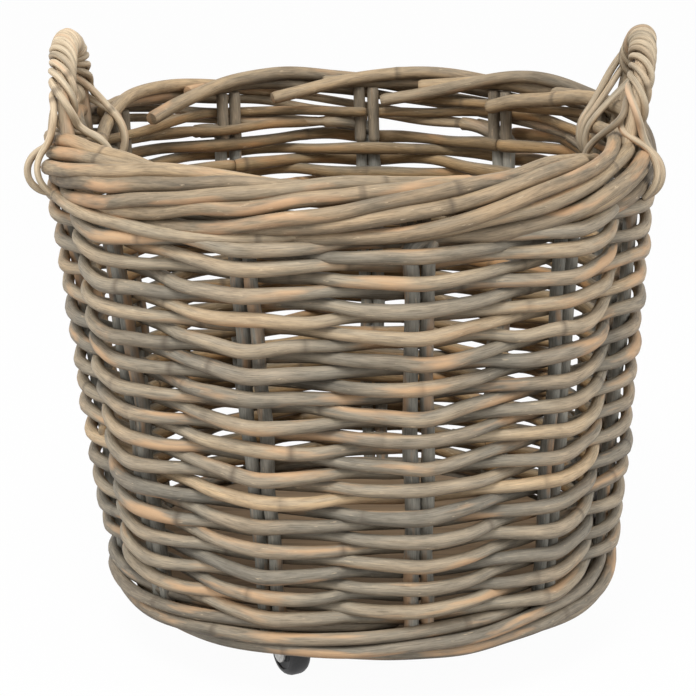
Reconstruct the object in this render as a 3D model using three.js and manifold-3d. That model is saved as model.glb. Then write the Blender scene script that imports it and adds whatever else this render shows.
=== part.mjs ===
// Rolling storage basket: a round rattan wall woven on paired stakes, whose tops are turned down into
// a rolled border, with two roped loop handles and a round base board on four swivel castors.
// Millimetres, +Z up. The origin is on the floor under the middle of the border, the front faces -Y,
// and an azimuth is counted in degrees from the front towards +X.

import * as THREE from 'three';
import { mergeVertices } from 'three/addons/utils/BufferGeometryUtils.js';
import Module from 'manifold-3d';

const wasm = await Module();
wasm.setup();

// Fits
const SEAT_GAP = 0.3; // between pieces that rest on each other
const BUTT_GAP = 0.6; // between two rods that meet end to end

// Wall and border
const RIM_DIAMETER = 500; // over the outside of the rolled border
const RIM_HEIGHT = 426; // floor to the top of the border
const FOOT_LIFT = 44; // floor to the underside of the foot coil
const STAKE_FOOT_RADIUS = 200.4; // circle of the stakes where they stand on the foot coil
const STAKE_TOP_SHIFT = 6.8; // stakes reach the border this far outside its middle circle
const SIDE_LEAN = 0.032; // sideways drift of the hand-woven wall for each millimetre of drop
const STAKE_PAIRS = 11; // an odd number, so that one weaver changes sides on every round
const FIRST_STAKE_AZIMUTH = -53;
const STAKE_DIAMETER = 11;
const STAKE_PAIR_GAP = 1.4; // daylight between the two stakes of a pair
const WEAVER_DIAMETER = 9.9;
const WEAVER_GAP = 0.5; // between one round of weaving and the next
const PASSES_PER_WEAVER = 40; // stakes that one rod of cane passes before the next takes over

// Rolled border
const BORDER_STEP = 33.75; // degrees round the roll from one rod to the next
const BORDER_GAP = 0.9; // between neighbouring rods of the roll
const BORDER_START = -55; // a stake joins the roll here, counted up from its outer side
const BORDER_END = 180; // and is cut off here, on the inside
const BORDER_BEND = 7; // degrees of azimuth in which an upright turns level
const WEAVE_ROOM = 5.8; // underside of the border to the middle of the last round of weaving

// Foot
const FOOT_ROD_DIAMETER = 10;
const FOOT_COIL_RADIUS = 213.5; // outer end of the coil, on its middle line
const FOOT_COIL_TURNS = 2.75;
const FOOT_COIL_GAP = 0.6;

// Base board
const BOARD_THICKNESS = 9;
const BOARD_EDGE = 4; // upright part of the edge, below the bevel
const BOARD_CLEARANCE = 1.5;

// Handles
const HANDLE_AZIMUTHS = { right: 87.5, left: 270 };
const HANDLE_RISES = { right: 79, left: 74 }; // top of the border to the top of the handle
const HANDLE_SPAN = 126; // between the middles of the legs
const HANDLE_LEG = 16; // straight part of a leg above the border
const HANDLE_SET_IN = 2; // from the border's middle circle in to the plane of the arch, at its foot
const HANDLE_LEANS = { right: 0.18, left: 0.09 }; // outward lean of that plane per millimetre of rise
const HANDLE_CORE_DIAMETER = 12;
const STRAND_DIAMETER = 5.4;
const STRAND_GAP = 0.7; // from a strand to what it is wound on
const STRANDS = 3;
const STRAND_TURNS = 4;
const OUTER_TUCK = -40; // a strand ends here on the roll, coming down its outside
const INNER_TUCK = 205; // or here, coming down its inside

// Castors
const FIRST_CASTOR_AZIMUTH = -29;
const CASTOR_SET_IN = 55.4; // edge of the board to the kingpin
const CASTOR_HEADINGS = [30, 150, 215, 280]; // azimuth towards which each wheel trails
const CASTOR_TRAIL = 18;
const WHEEL_DIAMETER = 40;
const WHEEL_WIDTH = 18;
const HUB_DIAMETER = 15;
const HUB_RECESS = 2.5;
const TYRE_THICKNESS = 6;
const TYRE_ROUND = 5;
const AXLE_DIAMETER = 6;
const AXLE_HEAD_DIAMETER = 10;
const AXLE_HEAD = 1.5;
const RUNNING_GAP = 0.3; // round the axle and the kingpin, and beside the wheel
const FORK_SHEET = 2.5;
const FORK_CROWN_DIAMETER = 34;
const FORK_ARM_WIDTH = 24;
const FORK_ARM_END_RADIUS = 8;
const KINGPIN_DIAMETER = 8;
const KINGPIN_HEAD_DIAMETER = 14;
const KINGPIN_HEAD = 1.5;
const RACE_GAP = 1; // plate to crown, filled by the ball race
const PLATE_SIDE = 42;
const PLATE_CORNER = 4;
const PLATE_THICKNESS = 2.5;
const SCREW_SPACING = 32;
const SCREW_HOLE_DIAMETER = 4.5;

// Fineness of the round forms
const ROD_SIDES = 5;
const CORE_SIDES = 6;
const ROUND_SIDES = 16;
const PIN_SIDES = 10;
const BOARD_SIDES = 44;
const COIL_STEPS = 24; // in a turn of the foot
const STRAND_STEPS = 10; // in a turn round a handle
const TUCK_STEPS = 8;
const TAIL_STEPS = 12;
const BEND_STEPS = 4;
const ARCH_STEPS = 16;

// Sizes that follow from those above
const stakePitch = 360 / STAKE_PAIRS;
const stakeRadius = STAKE_DIAMETER / 2;
const weaverRadius = WEAVER_DIAMETER / 2;
const strandRadius = STRAND_DIAMETER / 2;
const rollRadius = (STAKE_DIAMETER + BORDER_GAP) / (2 * Math.sin(radians(BORDER_STEP / 2)));
const rollOutside = rollRadius + stakeRadius;
const rimRadius = RIM_DIAMETER / 2 - rollOutside;
const rimMiddle = RIM_HEIGHT - rollOutside;
const rimUnderside = RIM_HEIGHT - 2 * rollOutside;
const borderClimb = (BORDER_STEP * 2 * STAKE_PAIRS) / 360;
const coilMiddle = FOOT_LIFT + FOOT_ROD_DIAMETER / 2;
const coilTop = FOOT_LIFT + FOOT_ROD_DIAMETER;
const standLevel = coilTop + SEAT_GAP;
const hoopMiddle = standLevel + FOOT_ROD_DIAMETER / 2;
const weaveStart = hoopMiddle + FOOT_ROD_DIAMETER / 2 + SEAT_GAP + weaverRadius;
const weavePitch = WEAVER_DIAMETER + WEAVER_GAP;
const weaveTop = rimUnderside - WEAVE_ROOM;
const weavePasses = 2 * Math.floor(((weaveTop - weaveStart) / weavePitch) * STAKE_PAIRS / 2);
const footShift = drift(standLevel);
const castorTop = standLevel - SEAT_GAP;
const crownTop = castorTop - PLATE_THICKNESS - RACE_GAP;
const armInside = WHEEL_WIDTH / 2 + RUNNING_GAP;

function radians(degrees) {
  return THREE.MathUtils.degToRad(degrees);
}

// How far the wall's axis has drifted sideways at a height.
function drift(height) {
  return SIDE_LEAN * (rimMiddle - height);
}

// Radius of the stakes' circle at a height: the wall is a cone that widens upwards.
function wallRadius(height) {
  const share = (height - standLevel) / (rimUnderside - standLevel);
  return THREE.MathUtils.lerp(STAKE_FOOT_RADIUS, rimRadius + STAKE_TOP_SHIFT, share);
}

// A point at an azimuth, on a circle round the wall's axis.
function around(azimuth, radius, height) {
  const angle = radians(azimuth);
  return new THREE.Vector3(drift(height) + radius * Math.sin(angle), -radius * Math.cos(angle), height);
}

// A point beside the border: the angle goes round the roll, up from its outer side.
function besideBorder(azimuth, angle, distance) {
  const turn = radians(angle);
  return around(azimuth, rimRadius + distance * Math.cos(turn), rimMiddle + distance * Math.sin(turn));
}

// A rod's middle line, bent at each of its points.
class RodLine extends THREE.Curve {
  constructor(points) {
    super();
    this.points = points;
  }

  index(share) {
    return Math.round(share * (this.points.length - 1));
  }

  getPointAt(share) {
    return this.points[this.index(share)].clone();
  }

  getTangentAt(share) {
    const at = this.index(share);
    const here = this.points[at];
    const before = this.points[at - 1] ?? here;
    const after = this.points[at + 1] ?? here;
    const coming = here.clone().sub(before).normalize();
    return after.clone().sub(here).normalize().add(coming).normalize();
  }
}

function rod(points, diameter, sides = ROD_SIDES) {
  const section = new THREE.Shape();
  for (let side = 0; side < sides; side += 1) {
    const angle = (2 * Math.PI * side) / sides;
    const corner = [(diameter / 2) * Math.cos(angle), (diameter / 2) * Math.sin(angle)];
    if (side === 0) section.moveTo(...corner);
    else section.lineTo(...corner);
  }
  section.closePath();
  const extrudePath = new RodLine(points);
  return new THREE.ExtrudeGeometry(section, { steps: points.length - 1, extrudePath });
}

// Least clear distance between two stretches of one rod that lie a few diameters apart along it.
function leastGap(points, diameter) {
  const line = new THREE.CurvePath();
  points.slice(1).forEach((point, at) => line.add(new THREE.LineCurve3(points[at], point)));
  const spacing = diameter / 4;
  const marks = line.getSpacedPoints(Math.round(line.getLength() / spacing));
  let least = Infinity;
  marks.forEach((mark, first) => {
    for (let second = first + 24; second < marks.length; second += 1) {
      least = Math.min(least, mark.distanceTo(marks[second]) - diameter);
    }
  });
  return least;
}

function circle(x, y, diameter) {
  return new THREE.Path().absarc(x, y, diameter / 2, 0, 2 * Math.PI);
}

// A solid of revolution about +Z from [radius, height] corners.
function turned(corners, sides) {
  const profile = corners.map(([radius, height]) => new THREE.Vector2(radius, height));
  return new THREE.LatheGeometry(profile, sides).rotateX(Math.PI / 2);
}

function toSolid(geometry) {
  const bare = geometry.clone();
  bare.deleteAttribute('normal');
  bare.deleteAttribute('uv');
  const merged = mergeVertices(bare, 1e-4);
  const vertProperties = new Float32Array(merged.attributes.position.array);
  const triVerts = new Uint32Array(merged.index.array);
  return new wasm.Manifold(new wasm.Mesh({ numProp: 3, vertProperties, triVerts }));
}

function fused(...geometries) {
  const whole = geometries.map(toSolid).reduce((sum, solid) => sum.add(solid)).getMesh();
  const geometry = new THREE.BufferGeometry();
  geometry.setAttribute('position', new THREE.BufferAttribute(whole.vertProperties, 3));
  geometry.setIndex(new THREE.BufferAttribute(whole.triVerts, 1));
  return geometry;
}

const rattan = new THREE.MeshStandardMaterial({ color: 0x93856f, roughness: 0.75, metalness: 0 });
const stakeRattan = new THREE.MeshStandardMaterial({ color: 0x7b766b, roughness: 0.8, metalness: 0 });
const cane = new THREE.MeshStandardMaterial({ color: 0xc0ab88, roughness: 0.65, metalness: 0 });
const plywood = new THREE.MeshStandardMaterial({ color: 0xb99a6e, roughness: 0.7, metalness: 0 });
const zincSteel = new THREE.MeshStandardMaterial({ color: 0xb4b2ae, roughness: 0.4, metalness: 0.9 });
const blackTyre = new THREE.MeshStandardMaterial({ color: 0x232323, roughness: 0.6, metalness: 0 });

const basket = new THREE.Group();

function place(parent, name, geometry, material) {
  const mesh = new THREE.Mesh(geometry, material);
  mesh.name = name;
  parent.add(mesh);
  return mesh;
}

// Stakes: each is one rod that stands in the wall, turns level and winds over the border to the inside.
// The second rod of a pair lies one step below the first all the way round the roll.
function stakeLine(azimuth, second) {
  const spread = (STAKE_DIAMETER + STAKE_PAIR_GAP) / 2;
  const side = second ? spread : -spread;
  const upright = (height) => {
    const turn = THREE.MathUtils.radToDeg(side / wallRadius(height));
    return around(azimuth + turn, wallRadius(height), height);
  };
  const topTurn = THREE.MathUtils.radToDeg(side / wallRadius(rimUnderside));
  const firstTurn = -THREE.MathUtils.radToDeg(spread / wallRadius(rimUnderside));
  const rollStart = azimuth + firstTurn + (second ? stakePitch / 2 : 0);
  const rollAngle = (at) => BORDER_START + (at - rollStart) * borderClimb;
  const onRoll = (at) => besideBorder(at, rollAngle(at), rollRadius);

  const joins = azimuth + topTurn;
  const level = joins + BORDER_BEND;
  const cut = rollStart + (BORDER_END - BORDER_START) / borderClimb;
  const bend = new THREE.QuadraticBezierCurve3(upright(weaveTop), onRoll(joins), onRoll(level));
  const points = [upright(standLevel + 2 * SEAT_GAP), ...bend.getPoints(BEND_STEPS)];
  for (let step = 1; step <= TAIL_STEPS; step += 1) {
    points.push(onRoll(THREE.MathUtils.lerp(level, cut, step / TAIL_STEPS)));
  }
  return points;
}

for (let pair = 0; pair < STAKE_PAIRS; pair += 1) {
  const azimuth = FIRST_STAKE_AZIMUTH + pair * stakePitch;
  const number = String(pair + 1).padStart(2, '0');
  place(basket, `stake_${number}a`, rod(stakeLine(azimuth, false), STAKE_DIAMETER), stakeRattan);
  place(basket, `stake_${number}b`, rod(stakeLine(azimuth, true), STAKE_DIAMETER), stakeRattan);
}

// Weavers: rods laid end to end in one rising round, outside one pair of stakes and inside the next.
// A weaver needs more room outside a pair, where it curves across the chord of the wall.
function weaverPlace(pass) {
  const azimuth = FIRST_STAKE_AZIMUTH + pass * stakePitch;
  const height = weaveStart + (weavePitch * pass) / STAKE_PAIRS;
  const halfPair = (STAKE_DIAMETER + STAKE_PAIR_GAP) / 2;
  const touch = stakeRadius + weaverRadius + SEAT_GAP;
  const halfSpan = wallRadius(height) * radians(stakePitch / 2);
  const sag = wallRadius(height) * (1 - Math.cos(radians(stakePitch / 2)));
  const inside = touch + 0.5 * SEAT_GAP;
  const outside = (touch * Math.hypot(1, (touch + sag) / halfSpan) + (sag * halfPair) / halfSpan)
    / (1 - halfPair / halfSpan);
  const middle = (outside - inside) / 2;
  const swing = (outside + inside) / 2;
  const radius = wallRadius(height) + middle - swing * Math.cos(Math.PI * pass);
  return around(azimuth, radius, height);
}

for (let first = 0, rodNumber = 1; first < weavePasses; first += PASSES_PER_WEAVER, rodNumber += 1) {
  const last = Math.min(first + PASSES_PER_WEAVER, weavePasses);
  const trim = BUTT_GAP / 2 / (wallRadius(weaveStart) * radians(stakePitch));
  const points = [weaverPlace(first + trim)];
  for (let pass = first + 0.5; pass < last; pass += 0.5) points.push(weaverPlace(pass));
  points.push(weaverPlace(last - trim));
  place(basket, `weaver_${String(rodNumber).padStart(2, '0')}`, rod(points, WEAVER_DIAMETER), rattan);
}

// Foot: a hoop round the stakes under the first round of weaving, and a flat coil that they stand on.
function footHoop() {
  const chordRoom = STAKE_FOOT_RADIUS * (1 - Math.cos(Math.PI / (3 * STAKE_PAIRS)));
  const radius = wallRadius(hoopMiddle) + stakeRadius + FOOT_ROD_DIAMETER / 2 + SEAT_GAP + chordRoom;
  const buttTurn = THREE.MathUtils.radToDeg(BUTT_GAP / radius);
  const points = [];
  const steps = 3 * STAKE_PAIRS;
  for (let step = 0; step <= steps; step += 1) {
    points.push(around(180 + buttTurn / 2 + ((360 - buttTurn) * step) / steps, radius, hoopMiddle));
  }
  return points;
}

function footCoil() {
  const points = [];
  const steps = Math.round(FOOT_COIL_TURNS * COIL_STEPS);
  for (let step = 0; step <= steps; step += 1) {
    const turns = step / COIL_STEPS;
    const radius = FOOT_COIL_RADIUS - (FOOT_ROD_DIAMETER + FOOT_COIL_GAP) * turns;
    points.push(around(180 - 360 * turns, radius, coilMiddle));
  }
  return points;
}

const coilLine = footCoil();
place(basket, 'foot_hoop', rod(footHoop(), FOOT_ROD_DIAMETER, CORE_SIDES), rattan);
place(basket, 'foot_coil', rod(coilLine, FOOT_ROD_DIAMETER, CORE_SIDES), rattan);
console.log(`foot_coil: least gap to itself ${leastGap(coilLine, FOOT_ROD_DIAMETER).toFixed(2)} mm`);

// Base board: a round panel that lies on the coil, bevelled so that the first weavers hold its edge down.
const boardRadius = wallRadius(standLevel) - stakeRadius - BOARD_CLEARANCE;

function baseBoard() {
  const top = standLevel + BOARD_THICKNESS;
  const weaveInside = wallRadius(weaveStart) - stakeRadius - WEAVER_DIAMETER - 2 * SEAT_GAP;
  const corners = [
    [0, standLevel],
    [boardRadius, standLevel],
    [boardRadius, standLevel + BOARD_EDGE],
    [weaveInside - BOARD_CLEARANCE, top],
    [0, top],
  ];
  return turned(corners, BOARD_SIDES);
}

place(basket, 'base_board', baseBoard(), plywood).position.x = footShift;

// Handles: a bow of rattan standing on the border, roped with strands that wind from foot to foot and
// hold on to the border, one down its outside and two down its inside at each foot.
const handleFoot = RIM_HEIGHT + SEAT_GAP;
const ropeFlat = HANDLE_CORE_DIAMETER / 2 + STRAND_GAP + strandRadius;
const ropeRadius = ropeFlat / Math.cos(Math.PI / STRAND_STEPS);

// The bow's middle line, in its own plane: x along the border, y up. The share runs from foot to foot.
function bowLine(side) {
  const bow = new THREE.CurvePath();
  const half = HANDLE_SPAN / 2;
  const spring = handleFoot + HANDLE_LEG;
  const apex = RIM_HEIGHT + HANDLE_RISES[side] - ropeRadius - strandRadius;
  const at = (x, y) => new THREE.Vector2(x, y);
  bow.add(new THREE.LineCurve(at(-half, handleFoot), at(-half, spring)));
  bow.add(new THREE.EllipseCurve(0, spring, half, apex - spring, Math.PI, 0, true));
  bow.add(new THREE.LineCurve(at(half, spring), at(half, handleFoot)));
  return bow;
}

// Puts a point of the bow's plane into the basket, with an outward distance from that plane.
function onHandle(side, x, y, outward) {
  const angle = radians(HANDLE_AZIMUTHS[side]);
  const reach = rimRadius - HANDLE_SET_IN + HANDLE_LEANS[side] * (y - handleFoot) + outward;
  return new THREE.Vector3(
    reach * Math.sin(angle) + x * Math.cos(angle),
    -reach * Math.cos(angle) + x * Math.sin(angle),
    y,
  );
}

function handleCore(side) {
  const bow = bowLine(side);
  const points = [];
  const steps = ARCH_STEPS + 4;
  for (let step = 0; step <= steps; step += 1) {
    const { x, y } = bow.getPointAt(step / steps);
    points.push(onHandle(side, x, y, 0));
  }
  return points;
}

function strandLine(side, strand) {
  const bow = bowLine(side);
  const steps = STRAND_STEPS * STRAND_TURNS;
  const lift = strandRadius / bow.getLength();
  const wound = [];
  for (let step = 0; step <= steps; step += 1) {
    const share = THREE.MathUtils.lerp(lift, 1 - lift, step / steps);
    const { x, y } = bow.getPointAt(share);
    const along = bow.getTangentAt(share);
    const angle = 2 * Math.PI * (strand / STRANDS + step / STRAND_STEPS);
    const sideways = ropeRadius * Math.sin(angle);
    const outward = ropeRadius * Math.cos(angle);
    wound.push(onHandle(side, x - along.y * sideways, y + along.x * sideways, outward));
  }
  return [...tuck(wound[0], strand).reverse(), ...wound, ...tuck(wound.at(-1), strand)];
}

// From a strand's place beside the foot of a handle, over the border and down its side.
function tuck(start, strand) {
  const touching = rollOutside + STRAND_GAP + strandRadius;
  const azimuth = THREE.MathUtils.radToDeg(Math.atan2(start.x, -start.y));
  const outward = Math.hypot(start.x, start.y) - rimRadius;
  const from = THREE.MathUtils.radToDeg(Math.acos(outward / touching));
  const to = strand === 0 ? OUTER_TUCK : INNER_TUCK;
  const distance = touching / Math.cos(radians(to - from) / TUCK_STEPS / 2);
  const points = [];
  for (let step = 0; step <= TUCK_STEPS; step += 1) {
    points.push(besideBorder(azimuth, THREE.MathUtils.lerp(from, to, step / TUCK_STEPS), distance));
  }
  return points;
}

for (const side of Object.keys(HANDLE_AZIMUTHS)) {
  place(basket, `handle_core_${side}`, rod(handleCore(side), HANDLE_CORE_DIAMETER, CORE_SIDES), cane);
  for (let strand = 0; strand < STRANDS; strand += 1) {
    const name = `handle_strand_${side}_${strand + 1}`;
    const line = strandLine(side, strand);
    place(basket, name, rod(line, STRAND_DIAMETER), cane);
    console.log(`${name}: least gap to itself ${leastGap(line, STRAND_DIAMETER).toFixed(2)} mm`);
  }
}

// Castors: a screwed plate with its riveted kingpin, a pressed fork that swivels on it, and a wheel
// on an axle behind the kingpin. A castor's own x runs towards the wheel, its y along the axle.
function castorPlate() {
  const half = PLATE_SIDE / 2;
  const inner = half - PLATE_CORNER;
  const outline = new THREE.Shape();
  outline.absarc(inner, inner, PLATE_CORNER, 0, Math.PI / 2);
  outline.absarc(-inner, inner, PLATE_CORNER, Math.PI / 2, Math.PI);
  outline.absarc(-inner, -inner, PLATE_CORNER, Math.PI, 1.5 * Math.PI);
  outline.absarc(inner, -inner, PLATE_CORNER, 1.5 * Math.PI, 2 * Math.PI);
  for (const x of [-SCREW_SPACING / 2, SCREW_SPACING / 2]) {
    for (const y of [-SCREW_SPACING / 2, SCREW_SPACING / 2]) {
      outline.holes.push(circle(x, y, SCREW_HOLE_DIAMETER));
    }
  }
  const plate = new THREE.ExtrudeGeometry(outline, {
    depth: PLATE_THICKNESS, bevelEnabled: false, curveSegments: 3,
  }).translate(0, 0, castorTop - PLATE_THICKNESS);
  const headTop = crownTop - FORK_SHEET - RUNNING_GAP;
  const kingpin = turned([
    [0, headTop - KINGPIN_HEAD],
    [KINGPIN_HEAD_DIAMETER / 2, headTop - KINGPIN_HEAD],
    [KINGPIN_HEAD_DIAMETER / 2, headTop],
    [KINGPIN_DIAMETER / 2, headTop],
    [KINGPIN_DIAMETER / 2, castorTop - PLATE_THICKNESS / 2],
    [0, castorTop - PLATE_THICKNESS / 2],
  ], PIN_SIDES);
  return fused(plate, kingpin);
}

function castorFork() {
  const outline = new THREE.Shape().absarc(0, 0, FORK_CROWN_DIAMETER / 2, 0, 2 * Math.PI);
  outline.holes.push(circle(0, 0, KINGPIN_DIAMETER + 2 * RUNNING_GAP));
  const crown = new THREE.ExtrudeGeometry(outline, {
    depth: FORK_SHEET, bevelEnabled: false, curveSegments: ROUND_SIDES / 2,
  }).translate(0, 0, crownTop - FORK_SHEET);

  const armTop = crownTop - FORK_SHEET / 2;
  const axleHeight = WHEEL_DIAMETER / 2;
  const arm = new THREE.Shape();
  arm.moveTo(-FORK_ARM_WIDTH / 2, armTop);
  arm.absarc(CASTOR_TRAIL, axleHeight, FORK_ARM_END_RADIUS, Math.PI, 2 * Math.PI);
  arm.lineTo(FORK_ARM_WIDTH / 2, armTop);
  arm.closePath();
  arm.holes.push(circle(CASTOR_TRAIL, axleHeight, AXLE_DIAMETER + 2 * RUNNING_GAP));
  const side = () => new THREE.ExtrudeGeometry(arm, {
    depth: FORK_SHEET, bevelEnabled: false, curveSegments: 6,
  }).rotateX(Math.PI / 2);
  return fused(crown, side().translate(0, -armInside, 0), side().translate(0, armInside + FORK_SHEET, 0));
}

function castorAxle() {
  const reach = armInside + FORK_SHEET + RUNNING_GAP;
  return turned([
    [0, -reach - AXLE_HEAD],
    [AXLE_HEAD_DIAMETER / 2, -reach - AXLE_HEAD],
    [AXLE_HEAD_DIAMETER / 2, -reach],
    [AXLE_DIAMETER / 2, -reach],
    [AXLE_DIAMETER / 2, reach],
    [AXLE_HEAD_DIAMETER / 2, reach],
    [AXLE_HEAD_DIAMETER / 2, reach + AXLE_HEAD],
    [0, reach + AXLE_HEAD],
  ], PIN_SIDES).rotateX(-Math.PI / 2);
}

// The wheel's section, closed on itself: a hub, dished sides and a tread with rounded shoulders.
function castorWheel() {
  const half = WHEEL_WIDTH / 2;
  const bore = AXLE_DIAMETER / 2 + RUNNING_GAP;
  const tread = WHEEL_DIAMETER / 2;
  const rim = tread - TYRE_THICKNESS;
  const shoulder = half - TYRE_ROUND;
  const upper = [
    [tread, shoulder],
    [tread - TYRE_ROUND, half],
    [rim, half],
    [HUB_DIAMETER / 2, half - HUB_RECESS],
    [HUB_DIAMETER / 2 - HUB_RECESS / 2, half],
    [bore, half],
  ];
  const lower = upper.map(([radius, height]) => [radius, -height]).reverse();
  return turned([...lower, ...upper, lower[0]], ROUND_SIDES).rotateX(-Math.PI / 2);
}

const castorCircle = boardRadius - CASTOR_SET_IN;
CASTOR_HEADINGS.forEach((heading, castor) => {
  const azimuth = radians(FIRST_CASTOR_AZIMUTH + (360 / CASTOR_HEADINGS.length) * castor);
  const station = new THREE.Group();
  station.position.set(
    footShift + castorCircle * Math.sin(azimuth),
    -castorCircle * Math.cos(azimuth),
    0,
  );
  station.rotation.z = azimuth;
  basket.add(station);
  const swivel = new THREE.Group();
  swivel.rotation.z = radians(heading - 90) - azimuth;
  station.add(swivel);
  const name = `castor_${castor + 1}`;
  place(station, `${name}_plate`, castorPlate(), zincSteel);
  place(swivel, `${name}_fork`, castorFork(), zincSteel);
  const axle = place(swivel, `${name}_axle`, castorAxle(), zincSteel);
  const wheel = place(swivel, `${name}_wheel`, castorWheel(), blackTyre);
  axle.position.set(CASTOR_TRAIL, 0, WHEEL_DIAMETER / 2);
  wheel.position.copy(axle.position);
});

export default basket;
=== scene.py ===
import math

import bmesh
import bpy
import numpy as np
from mathutils import Matrix, Vector


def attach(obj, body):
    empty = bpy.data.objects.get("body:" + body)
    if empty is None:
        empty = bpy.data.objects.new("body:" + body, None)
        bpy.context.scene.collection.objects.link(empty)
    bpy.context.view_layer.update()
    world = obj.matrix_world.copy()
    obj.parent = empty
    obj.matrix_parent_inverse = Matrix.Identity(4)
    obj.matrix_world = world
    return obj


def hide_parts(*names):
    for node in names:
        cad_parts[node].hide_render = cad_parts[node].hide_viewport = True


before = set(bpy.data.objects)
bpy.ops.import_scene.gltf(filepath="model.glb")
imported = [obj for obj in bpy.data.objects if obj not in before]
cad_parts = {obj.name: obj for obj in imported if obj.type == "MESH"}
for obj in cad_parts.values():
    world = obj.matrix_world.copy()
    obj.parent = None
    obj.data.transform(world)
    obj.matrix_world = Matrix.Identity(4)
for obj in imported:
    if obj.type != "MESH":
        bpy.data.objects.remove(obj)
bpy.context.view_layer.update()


# Studio.
# A white seamless floor, a broad lamp above the front and a weaker one at each side, in an even white
# room. The camera stands two metres off, at the height of a person bending down to the basket.
scene = bpy.context.scene
scene.view_settings.view_transform = "Standard"

camera_data = bpy.data.cameras.new("camera")
camera_data.sensor_width = 36.0
camera_data.lens = 129.4
camera = bpy.data.objects.new("camera", camera_data)
camera.location = (-0.0012, -2.0, 0.811)
camera.rotation_euler = (math.radians(90 - 16.12), 0, 0)
scene.collection.objects.link(camera)
scene.camera = camera


def soft_lamp(name, place, aim, size, watts):
    lamp_data = bpy.data.lights.new(name, "AREA")
    lamp_data.shape = "DISK"
    lamp_data.size = size
    lamp_data.energy = watts
    lamp = bpy.data.objects.new(name, lamp_data)
    lamp.location = place
    lamp.rotation_euler = (Vector(aim) - Vector(place)).to_track_quat("-Z", "Y").to_euler()
    scene.collection.objects.link(lamp)


soft_lamp("top_lamp", (-0.4, -1.3, 2.2), (0, 0, 0.25), 1.2, 42)
soft_lamp("left_lamp", (-2.2, -1.0, 1.1), (0, 0, 0.25), 1.2, 15)
soft_lamp("right_lamp", (2.2, -0.9, 1.2), (0, 0, 0.25), 1.2, 21)


def seen_directly(nodes, links):
    """One for rays from the camera, a mirror or a clear body, nought for the rays that carry light."""
    path = nodes.new("ShaderNodeLightPath")
    first = nodes.new("ShaderNodeMath")
    first.operation = "MAXIMUM"
    links.new(path.outputs["Is Camera Ray"], first.inputs[0])
    links.new(path.outputs["Is Glossy Ray"], first.inputs[1])
    both = nodes.new("ShaderNodeMath")
    both.operation = "MAXIMUM"
    links.new(first.outputs[0], both.inputs[0])
    links.new(path.outputs["Is Transmission Ray"], both.inputs[1])
    return both.outputs[0]


world = bpy.data.worlds.new("white_room")
scene.world = world
world.use_nodes = True
room_nodes = world.node_tree.nodes
room_links = world.node_tree.links
room_light = room_nodes["Background"]
room_light.inputs["Color"].default_value = (1.0, 1.0, 1.0, 1.0)
room_seen = room_nodes.new("ShaderNodeMapRange")
room_seen.inputs["To Min"].default_value = 0.68
room_seen.inputs["To Max"].default_value = 1.0
room_links.new(seen_directly(room_nodes, room_links), room_seen.inputs["Value"])
room_links.new(room_seen.outputs["Result"], room_light.inputs["Strength"])

floor_bm = bmesh.new()
bmesh.ops.create_grid(floor_bm, x_segments=2, y_segments=2, size=12)
floor_mesh = bpy.data.meshes.new("floor")
floor_bm.to_mesh(floor_mesh)
floor_bm.free()
floor = bpy.data.objects.new("floor", floor_mesh)
scene.collection.objects.link(floor)

floor_white = bpy.data.materials.new("floor_white")
floor_white.use_nodes = True
floor_nodes = floor_white.node_tree.nodes
floor_links = floor_white.node_tree.links
floor_nodes["Principled BSDF"].inputs["Base Color"].default_value = (0.7, 0.7, 0.7, 1)
floor_nodes["Principled BSDF"].inputs["Roughness"].default_value = 0.9
floor_glow = floor_nodes.new("ShaderNodeEmission")
floor_share = floor_nodes.new("ShaderNodeMath")
floor_share.operation = "MULTIPLY"
floor_share.inputs[1].default_value = 0.965
floor_mix = floor_nodes.new("ShaderNodeMixShader")
floor_links.new(seen_directly(floor_nodes, floor_links), floor_share.inputs[0])
floor_links.new(floor_share.outputs[0], floor_mix.inputs["Fac"])
floor_links.new(floor_nodes["Principled BSDF"].outputs[0], floor_mix.inputs[1])
floor_links.new(floor_glow.outputs[0], floor_mix.inputs[2])
floor_links.new(floor_mix.outputs[0], floor_nodes["Material Output"].inputs["Surface"])
floor.data.materials.append(floor_white)


# Castors.
# Four swivel castors of zinc-plated pressed steel: a plate screwed to the board, a ball race, a fork that
# turns on a riveted kingpin, and a black wheel with a moulded tyre on a riveted axle.
MM = 0.001
WELD = 1e-6
SHARP_ANGLE = 38.0
CREASE = 0.9
FOOT_SHIFT = 0.0110625
FIRST_CASTOR = -29.0
CASTOR_CIRCLE = 0.138
CASTOR_HEADINGS = (30, 150, 215, 280)
CASTOR_TOP = 0.054
SHEET = 0.0025
SHEET_ROUND = 0.35 * MM
PLATE_REACH = 0.017
PLATE_CORNER = 0.004
SCREW_REACH = 0.016
SCREW_FACE = 0.0493
SCREW_GROOVE = (0.0052, 0.0009, 0.0006)
CROWN_TOP = 0.0505
FORK_TOP = 0.0492
FORK_HALF_WIDTH = 0.012
FORK_INSIDE = 0.0093
FORK_END = 0.008
TRAIL = 0.018
AXLE_HEIGHT = 0.02


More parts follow.
